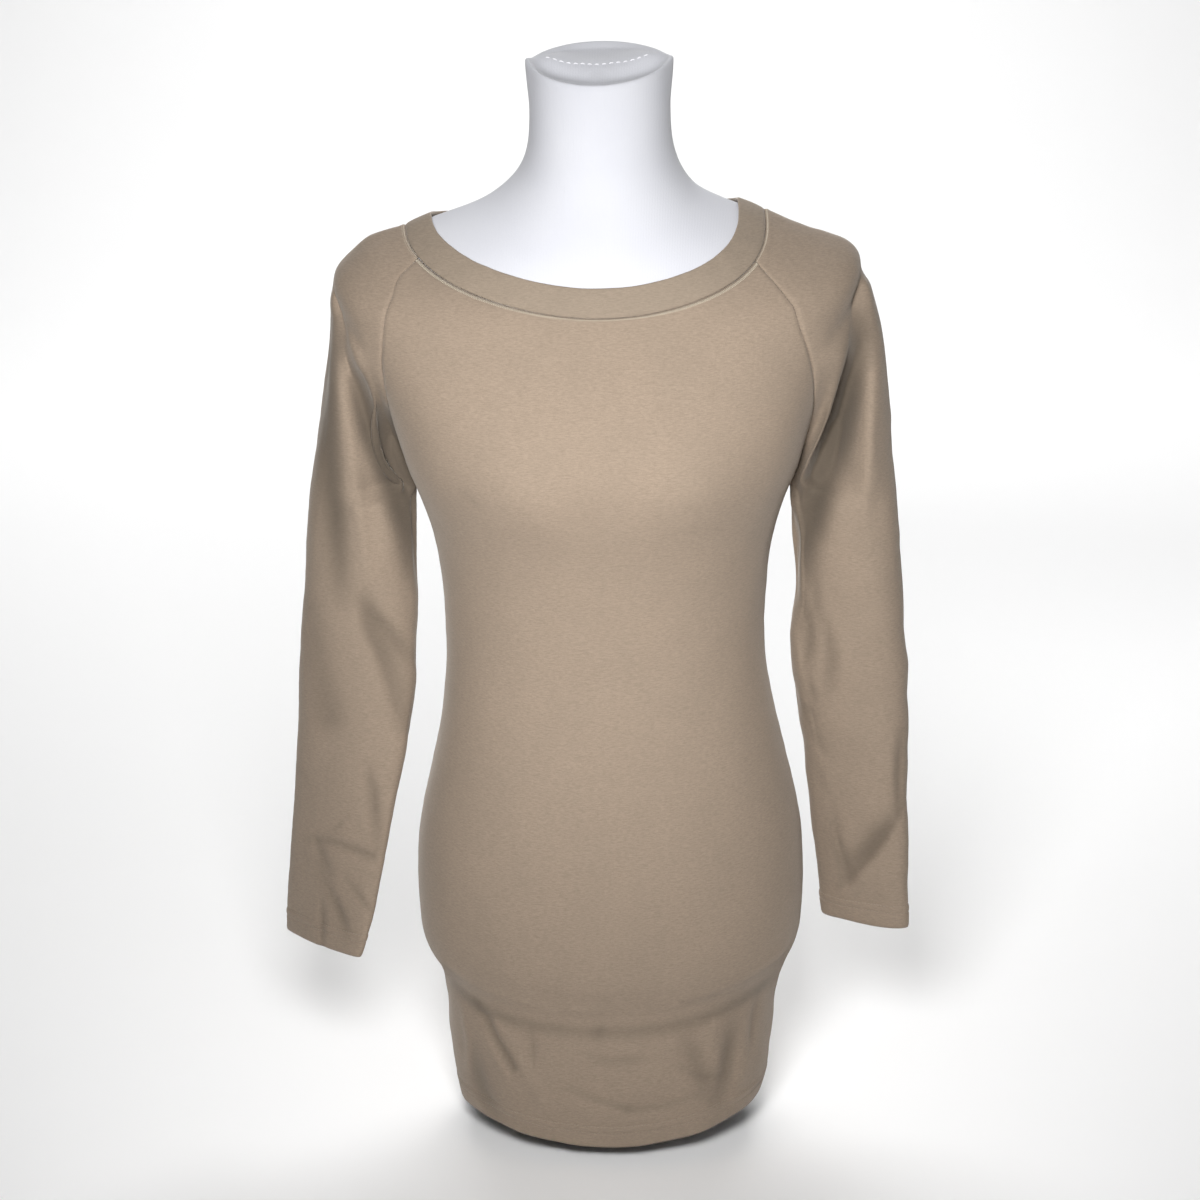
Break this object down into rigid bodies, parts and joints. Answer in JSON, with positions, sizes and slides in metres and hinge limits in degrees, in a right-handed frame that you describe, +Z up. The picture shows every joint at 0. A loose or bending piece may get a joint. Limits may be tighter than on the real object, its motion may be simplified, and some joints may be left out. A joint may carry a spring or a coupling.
{
  "type": "jersey blouse on a dress form",
  "caption": "Long-sleeved raglan jersey top with a wide folded neckband, fitted over a limbless dress form that stands on a short hidden pedestal.",
  "frame": {"origin": "centre of the pedestal plate's underside, where the form stands on the floor", "axes": "+Z up along the form, -Y the way the wearer faces, +X the wearer's left"},
  "size_m": [0.5101, 0.2495, 0.8735],
  "materials": {
    "jersey": "fine matt single jersey, warm taupe, faintly heathered",
    "band_jersey": "the same jersey folded double, with a narrow light cover stitch along its seam",
    "form_cover": "white stretch knit drawn smooth over the form",
    "dark_metal": "satin dark grey powder coat"
  },
  "bodies": {
    "root": {"front_panel": "jersey", "back_panel": "jersey", "sleeve_right": "jersey", "sleeve_left": "jersey", "neckband": "band_jersey", "dress_form": "form_cover", "pedestal_base": "dark_metal", "pedestal_pole": "dark_metal", "pedestal_flange": "dark_metal"}
  },
  "joints": []
}
